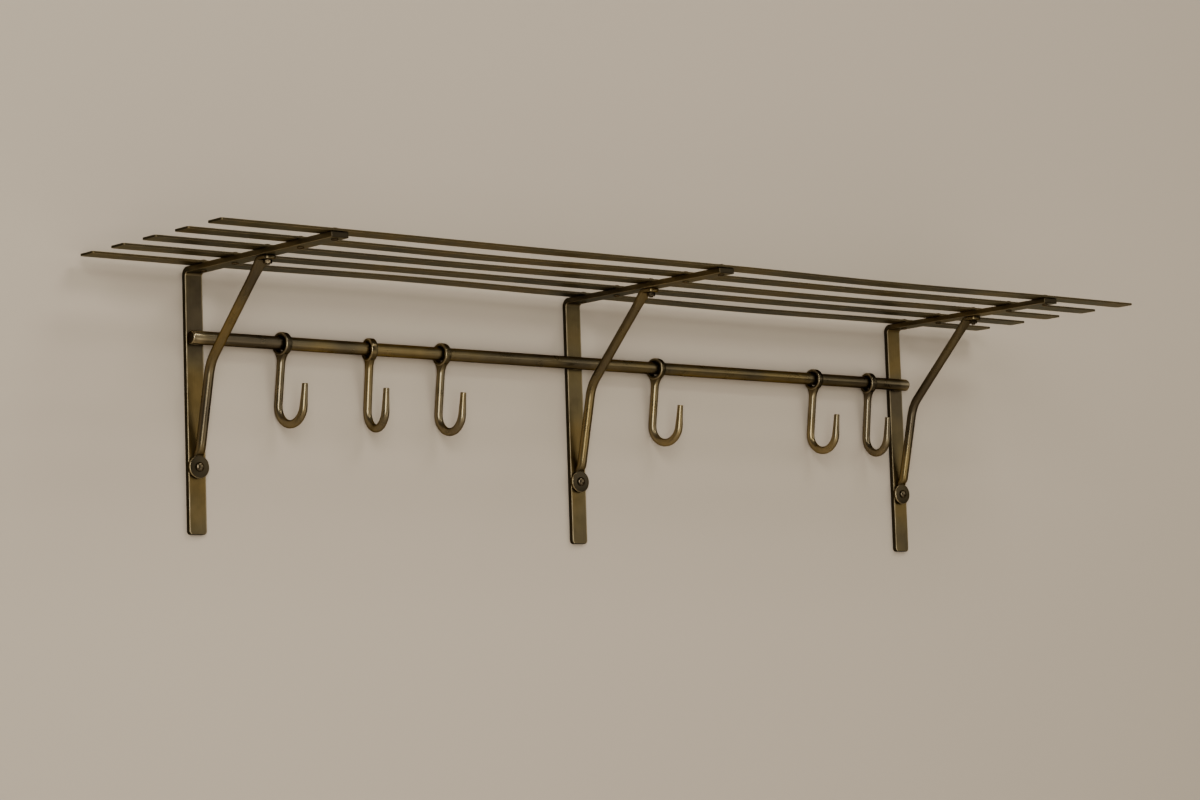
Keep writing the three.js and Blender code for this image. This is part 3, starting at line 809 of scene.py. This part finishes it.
def matt(name, colour, mottle, see_through_back=False):
    material = bpy.data.materials.new(name)
    material.use_nodes = True
    tree = material.node_tree
    tree.nodes.clear()
    out = node(tree, "ShaderNodeOutputMaterial", 900, 0)
    shader = node(tree, "ShaderNodeBsdfPrincipled", 400, 0)
    shader.inputs["Roughness"].default_value = 0.85
    shader.inputs["Specular IOR Level"].default_value = 0.15
    where = node(tree, "ShaderNodeTexCoord", -600, 0).outputs["Object"]
    clouds = noise_at(tree, -300, 0, where, 1.3, 2.0)
    low_tone = tuple(c * (1 - mottle) for c in colour)
    high_tone = tuple(c * (1 + mottle) for c in colour)
    tree.links.new(
        ramp(tree, 0, 0, clouds, [(0.3, low_tone), (0.7, high_tone)]), shader.inputs["Base Color"]
    )
    surface = shader.outputs["BSDF"]
    if see_through_back:
        blend = node(tree, "ShaderNodeMixShader", 700, 0)
        clear = node(tree, "ShaderNodeBsdfTransparent", 400, -400)
        back = node(tree, "ShaderNodeNewGeometry", 400, 300).outputs["Backfacing"]
        tree.links.new(back, blend.inputs["Fac"])
        tree.links.new(surface, blend.inputs[1])
        tree.links.new(clear.outputs["BSDF"], blend.inputs[2])
        surface = blend.outputs["Shader"]
    tree.links.new(surface, out.inputs["Surface"])
    return material


def panel(name, cells, material):
    """A stage surface made of rectangles, each four corners."""
    points, faces = [], []
    for corners in cells:
        faces.append(tuple(range(len(points), len(points) + 4)))
        points.extend(corners)
    data = bpy.data.meshes.new(name)
    data.from_pydata(points, [], faces)
    data.materials.append(material)
    made = bpy.data.objects.new(name, data)
    bpy.context.collection.objects.link(made)
    made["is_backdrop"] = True
    return made


FLOOR_Z = -1.5
WALL_Y = 0.4 * MM
WALL_LEFT, WALL_RIGHT, WALL_TOP = -4.0, 6.0, 2.6

# The wall is left open behind each leg, where it can't be seen from the front, so that
# the legs' backs are lit when the rack is seen from behind.
edges_x = [WALL_LEFT]
for side in SIDES:
    low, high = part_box(f"bracket_{side}")
    edges_x += [low.x + 0.5 * MM, high.x - 0.5 * MM]
edges_x.append(WALL_RIGHT)
leg_low, leg_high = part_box("bracket_center")
edges_z = [FLOOR_Z, leg_low.z + 4 * MM, leg_high.z - 8 * MM, WALL_TOP]
cells = []
for i in range(len(edges_x) - 1):
    for j in range(len(edges_z) - 1):
        if i % 2 and j == 1:
            continue
        x0, x1, z0, z1 = edges_x[i], edges_x[i + 1], edges_z[j], edges_z[j + 1]
        cells.append([(x, WALL_Y, z) for x, z in ((x0, z0), (x1, z0), (x1, z1), (x0, z1))])
panel("wall", cells, matt("wall_paint", (0.512, 0.442, 0.350), 0.012, see_through_back=True))
floor_corners = [(-7, -8, FLOOR_Z), (8, -8, FLOOR_Z), (8, 5, FLOOR_Z), (-7, 5, FLOOR_Z)]
panel("floor", [floor_corners], matt("floor_paint", (0.62, 0.57, 0.50), 0.01))

# ---- light -----------------------------------------------------------------------------------

RACK = Vector((0, -0.1, 0.05))


def softbox(name, azimuth, elevation, distance, width, height, power, colour):
    """A lamp round the rack. Azimuth 0 is straight in front of the wall and 90 is its left."""
    a, e = math.radians(azimuth), math.radians(elevation)
    way = Vector((-math.sin(a) * math.cos(e), -math.cos(a) * math.cos(e), math.sin(e)))
    data = bpy.data.lights.new(name, "AREA")
    data.shape = "RECTANGLE"
    data.size, data.size_y = width, height
    data.energy = power
    data.color = colour
    lamp = bpy.data.objects.new(name, data)
    lamp.location = RACK + distance * way
    lamp.rotation_euler = (-way).to_track_quat("-Z", "Y").to_euler()
    lamp.visible_camera = False
    bpy.context.collection.objects.link(lamp)


softbox("key", 36, 5, 3.3, 1.2, 2.8, 84, (1.0, 0.97, 0.93))
softbox("above", -14, 44, 3.2, 1.4, 0.8, 34, (1.0, 0.97, 0.93))
softbox("fill", -42, 14, 3.0, 2.2, 1.8, 14, (1.0, 0.96, 0.90))
softbox("bounce", -18, -24, 1.8, 1.2, 0.9, 4, (1.0, 0.94, 0.86))

world = bpy.data.worlds.new("studio")
bpy.context.scene.world = world
world.use_nodes = True
background = world.node_tree.nodes["Background"]
background.inputs["Color"].default_value = (0.20, 0.185, 0.16, 1)
background.inputs["Strength"].default_value = 1.0

# ---- camera ----------------------------------------------------------------------------------

CAMERA_AT = Vector((-2.065, -2.500, -0.333))
CAMERA_AZIMUTH = 40.02  # towards the right of straight into the wall
CAMERA_ELEVATION = 6.25
CAMERA_ROLL = -1.86
CAMERA_LENS = 102.5

a, e, roll = (math.radians(v) for v in (CAMERA_AZIMUTH, CAMERA_ELEVATION, CAMERA_ROLL))
forward = Vector((math.sin(a) * math.cos(e), math.cos(a) * math.cos(e), math.sin(e)))
level = forward.cross(UP).normalized()
right = math.cos(roll) * level + math.sin(roll) * level.cross(forward)
up = right.cross(forward)
camera_data = bpy.data.cameras.new("camera")
camera_data.lens = CAMERA_LENS
camera_data.sensor_width = 36
camera = bpy.data.objects.new("camera", camera_data)
camera.rotation_mode = "QUATERNION"
camera.rotation_quaternion = Matrix((right, up, -forward)).transposed().to_quaternion()
camera.location = CAMERA_AT
bpy.context.collection.objects.link(camera)
bpy.context.scene.camera = camera

# ---- hand over -------------------------------------------------------------------------------

sizes = {"before": [list(v) for v in bounds_before], "after": [list(v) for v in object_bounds()]}
